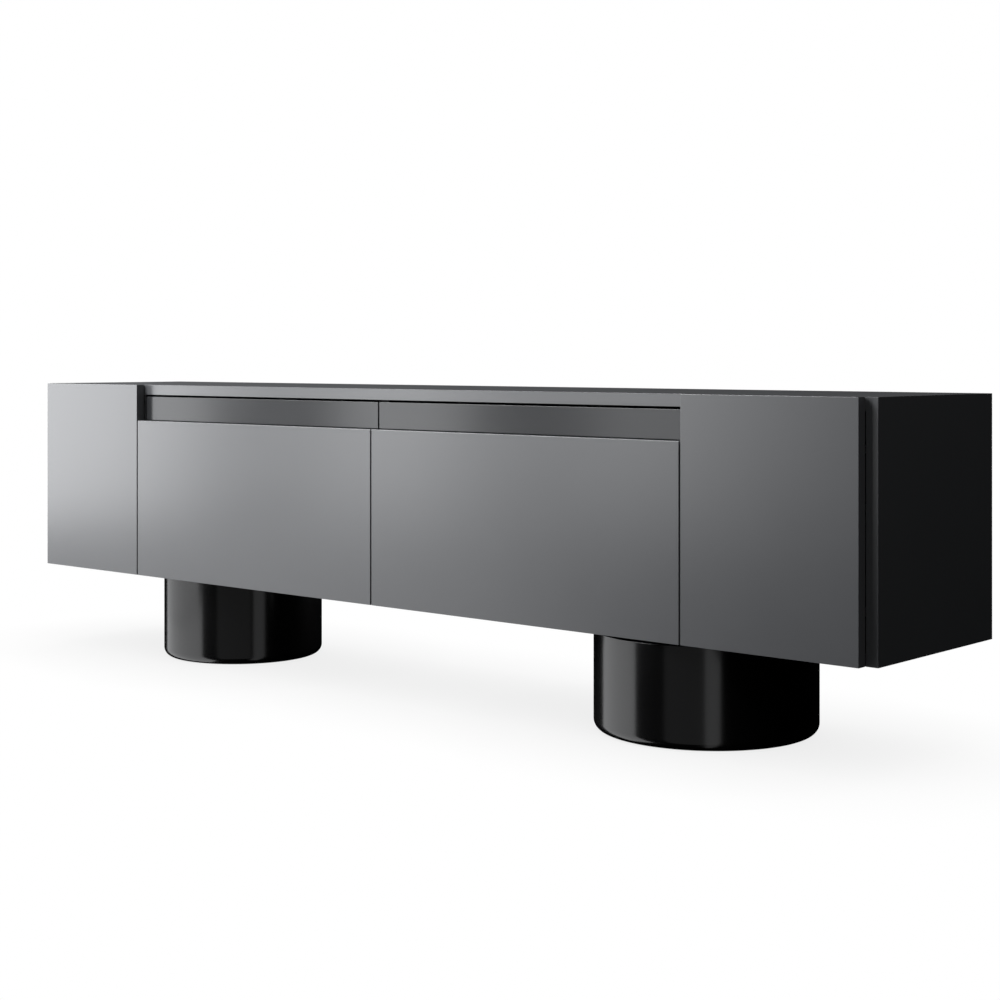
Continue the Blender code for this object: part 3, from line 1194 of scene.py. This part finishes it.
class DeepDrawer(Drawer):
    """Deep drawer, which hangs on side runners."""

    def build(self, side: Side) -> None:
        """Model and mount a deep drawer.

        Args:
            side: its side of the middle.
        """
        prefix = f"deep_drawer_{side.word}"
        face = f"{prefix}_face"
        self.replace(face, smooth(self.panel(face)), Finish.GRAPHITE)
        low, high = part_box(face)
        self.pads(face, [low.x + self.sizes.pad_inset, high.x - self.sizes.pad_inset])
        self.box(prefix, ("side_inner", "side_outer", "front", "back", "bottom"))
        self.front_screws(prefix)
        for place in ("inner", "outer"):
            self.channel(f"runner_rail_{side.word}_{place}")
            self.channel(f"runner_slide_{side.word}_{place}")

    def front_screws(self, prefix: str) -> None:
        """Screws through the box's front into the face.

        Args:
            prefix: the drawer's name, which is also its body's.
        """
        low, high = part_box(f"{prefix}_front")
        inset = self.box_sizes.front_screw_inset
        places = [(x, high.y, z) for x in (low.x + inset, high.x - inset)
                  for z in (low.z + inset, high.z - inset)]
        screws = PanScrew().group(f"{prefix}_front_screws", places, Facing.TO_BACK)
        self.mount(screws, Finish.STEEL, prefix)

    def channel(self, node: str) -> None:
        """Sheet-steel channel, with its screws on the inside of its web.

        Args:
            node: the runner's node.
        """
        sizes = self.box_sizes
        low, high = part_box(node)
        wall_is_low = node.endswith("inner") == ("right" in node)
        outward = 1 if wall_is_low == ("rail" in node) else -1
        web_x = low.x if outward > 0 else high.x
        face_x = web_x + outward * sizes.sheet
        z = (low.z + high.z) / 2
        web_reach = (high.z - low.z) / 2 - sizes.sheet
        web = block(f"{node}_rolled", (web_x, low.y, low.z), (face_x, high.y, high.z))
        with edit_mode(web):
            for cut_z in (low.z + sizes.sheet, high.z - sizes.sheet):
                bpy.ops.mesh.select_mode(type=Element.FACE.name)
                bpy.ops.mesh.select_all(action="SELECT")
                bpy.ops.mesh.bisect(plane_co=(0, 0, cut_z), plane_no=(0, 0, 1))
            pick(web, Element.FACE, lambda face: faces_towards(face, (outward, 0, 0))
                 and abs(face.calc_center_median().z - z) > web_reach)
            bpy.ops.mesh.extrude_region_move(
                TRANSFORM_OT_translate={"value": (outward * (high.x - low.x - sizes.sheet), 0, 0)})
        bevel(web, sizes.runner_rounding, sizes.runner_segments)
        self.replace(node, smooth(web), Finish.STEEL)
        inset = sizes.runner_screw_inset
        places = [(face_x, y, z) for y in (low.y + inset, (low.y + high.y) / 2, high.y - inset)]
        screws = PanScrew().group(f"{node}_screws", places, Facing.along_x(outward))
        self.mount(screws, Finish.STEEL, body_of(node))


class SlimDrawer(Drawer):
    """Slim drawer, which runs on the divider below it."""

    def build(self, side: Side) -> None:
        """Model and mount a slim drawer.

        Args:
            side: its side of the middle.
        """
        prefix = f"slim_drawer_{side.word}"
        front = f"{prefix}_front"
        self.replace(front, smooth(self.panel(front)), Finish.CHANNEL)
        self.box(prefix, ("side_inner", "side_outer", "back", "bottom"))


# ------------------------------------------------------------------ studio


@dataclass(frozen=True)
class LightCard:
    """Upright light card, given by the ends of its foot line, its span of heights and radiance."""

    name: str
    start: Span
    end: Span
    heights: Span
    radiance: float

    @classmethod
    def on_arc(cls, name: str, angles: Span, heights: Span, radiance: float) -> "LightCard":
        """Card on the arc of the softbox, which runs from the front round to the left.

        Args:
            name: the card's name.
            angles: where it starts and ends, in degrees from straight in front.
            heights: heights of its lower and upper edges.
            radiance: its radiance.

        Returns:
            The card.
        """
        ends = [(-ARC_RADIUS * sin(radians(angle)), -ARC_RADIUS * cos(radians(angle)))
                for angle in angles]
        return cls(name, *ends, heights, radiance)

    def add(self) -> None:
        """Add the card as an area light that faces the dresser and isn't seen itself."""
        start, end = Vector((*self.start, 0.0)), Vector((*self.end, 0.0))
        low, high = self.heights
        along = end - start
        middle = (start + end) / 2
        normal = Vector((0, 0, 1)).cross(along).normalized()
        if normal.dot(middle) > 0:
            normal = -normal
        light = bpy.data.lights.new(self.name, "AREA")
        light.shape = "RECTANGLE"
        light.color = CARD_COLOUR
        light.size = along.length
        light.size_y = high - low
        light.energy = self.radiance * pi * light.size * light.size_y
        card = bpy.data.objects.new(self.name, light)
        card.location = middle + Vector((0, 0, (low + high) / 2))
        card.rotation_euler = normal.to_track_quat("-Z", "Y").to_euler()
        card.visible_camera = False
        bpy.context.scene.collection.objects.link(card)


@dataclass(frozen=True)
class Studio:
    """Pale glowing floor with a painted contact shadow, soft light from the left front, and the
    camera.
    """

    camera_place: Point = (2.2836, -2.4288, 0.6076)
    camera_heading: float = 41.4153
    lens: float = 64.922
    shift_down: float = 0.14369
    panel_heights: Span = (0.15, 2.0)
    base_heights: Span = (-0.1, 0.15)
    foot_heights: Span = (-3.0, -0.1)
    floor_size: float = 120.0
    # painted contact shadow on the floor: how far the ambient occlusion reaches, and the glow left
    # where it is darkest
    contact_reach: float = 0.30
    contact_tone: float = 0.80
    surround: float = 0.03
    surround_rise: float = 0.25

    def build(self) -> None:
        """Set up the whole studio."""
        bpy.context.scene.view_settings.view_transform = "Standard"
        self.floor()
        self.world()
        for card in self.cards():
            card.add()
        self.camera()

    def cards(self) -> list[LightCard]:
        """The light cards that stand round the dresser.

        Returns:
            Three softbox panels with a dim one across them, a card level with the foot of the
            fronts and one below it for the drums, three high cards, two low cards for the right
            drum, and one behind the dresser.
        """
        return [
            LightCard.on_arc("panel_front", (15, 25), self.panel_heights, 2.0),
            LightCard.on_arc("panel_middle", (35, 45), self.panel_heights, 3.5),
            LightCard.on_arc("panel_left", (55, 95), self.panel_heights, 4.0),
            LightCard.on_arc("panel_dim", (0, 55), self.panel_heights, 0.7),
            LightCard.on_arc("base", (30, 90), self.base_heights, 1.0),
            LightCard.on_arc("foot", (25, 90), self.foot_heights, 1.1),
            LightCard("high_left_front", (-0.9, -2.4), (-2.4, -0.9), (2.0, 4.4), 16.0),
            LightCard("high_left", (-2.4, -0.9), (-2.6, 0.3), (2.1, 3.6), 8.0),
            LightCard("high_right", (1.6, -2.6), (3.8, -0.8), (2.0, 3.2), 2.5),
            LightCard("drum_fill", (0.2, -3.6), (3.2, -2.2), (-3.0, -0.05), 0.1),
            LightCard("drum_strip", (1.2, -0.9), (0.9, -0.3), (-3.0, 0.1), 0.3),
            LightCard("back_light", (-1.6, 2.2), (1.0, 2.2), (0.25, 0.55), 8.0),
        ]

    def floor(self) -> None:
        """Pale glowing floor with a painted contact shadow: ambient occlusion dims its glow softly
        where something stands on it or close over it.
        """
        bpy.ops.object.select_all(action="DESELECT")
        bpy.ops.mesh.primitive_plane_add(size=self.floor_size, location=(0, 0, 0))
        floor = bpy.context.object
        floor.name = "studio_floor"
        material = bpy.data.materials.new("studio_floor")
        material.use_nodes = True
        tree = material.node_tree
        tree.nodes.remove(tree.nodes["Principled BSDF"])
        # painted shadow: ambient occlusion, not the lamps, dims the floor's glow near the dresser
        painted_shadow = tree.nodes.new("ShaderNodeAmbientOcclusion")
        painted_shadow.inputs["Distance"].default_value = self.contact_reach
        spread = tree.nodes.new("ShaderNodeMapRange")
        spread.inputs["To Min"].default_value = self.contact_tone
        tree.links.new(painted_shadow.outputs["AO"], spread.inputs["Value"])
        glow = tree.nodes.new("ShaderNodeEmission")
        tree.links.new(spread.outputs["Result"], glow.inputs["Strength"])
        tree.links.new(glow.outputs["Emission"], tree.nodes["Material Output"].inputs["Surface"])
        floor.data.materials.append(material)
        floor.visible_diffuse = floor.visible_glossy = floor.visible_transmission = False
        floor.visible_shadow = False

    def world(self) -> None:
        """White behind the dresser, and a surround for what it mirrors, dark below the horizon."""
        world = bpy.data.worlds.new("studio")
        bpy.context.scene.world = world
        world.use_nodes = True
        tree = world.node_tree
        seen = tree.nodes["Background"]
        seen.inputs["Color"].default_value = WHITE
        direction = tree.nodes.new("ShaderNodeTexCoord").outputs["Generated"]
        split = tree.nodes.new("ShaderNodeSeparateXYZ")
        tree.links.new(direction, split.inputs["Vector"])
        rise = tree.nodes.new("ShaderNodeMapRange")
        rise.inputs["From Max"].default_value = self.surround_rise
        rise.inputs["To Max"].default_value = self.surround
        tree.links.new(split.outputs["Z"], rise.inputs["Value"])
        dim = tree.nodes.new("ShaderNodeBackground")
        tree.links.new(rise.outputs["Result"], dim.inputs["Strength"])
        path = tree.nodes.new("ShaderNodeLightPath")
        mix = tree.nodes.new("ShaderNodeMixShader")
        to_camera, mirrored, behind = mix.inputs
        tree.links.new(path.outputs["Is Camera Ray"], to_camera)
        tree.links.new(dim.outputs["Background"], mirrored)
        tree.links.new(seen.outputs["Background"], behind)
        tree.links.new(mix.outputs["Shader"], tree.nodes["World Output"].inputs["Surface"])

    def camera(self) -> None:
        """Level camera at the right front of the dresser."""
        lens = bpy.data.cameras.new("camera")
        lens.lens = self.lens
        lens.shift_y = -self.shift_down
        camera = bpy.data.objects.new("camera", lens)
        camera.location = self.camera_place
        camera.rotation_euler = (pi / 2, 0, radians(self.camera_heading))
        bpy.context.scene.collection.objects.link(camera)
        bpy.context.scene.camera = camera


# ------------------------------------------------------------------ the whole dresser


def main() -> None:
    """Build every sub-assembly around the frame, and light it."""
    logging.basicConfig(level=logging.INFO, format="%(name)s %(message)s")
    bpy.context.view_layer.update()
    paintshop = Paintshop()
    Shell(paintshop).build()
    DrumFeet(paintshop).build()
    for side in Side:
        Door(paintshop).build(side)
        PushLatch(paintshop).build(side)
        DeepDrawer(paintshop).build(side)
        SlimDrawer(paintshop).build(side)
    Studio().build()


if __name__ == "__main__":
    main()
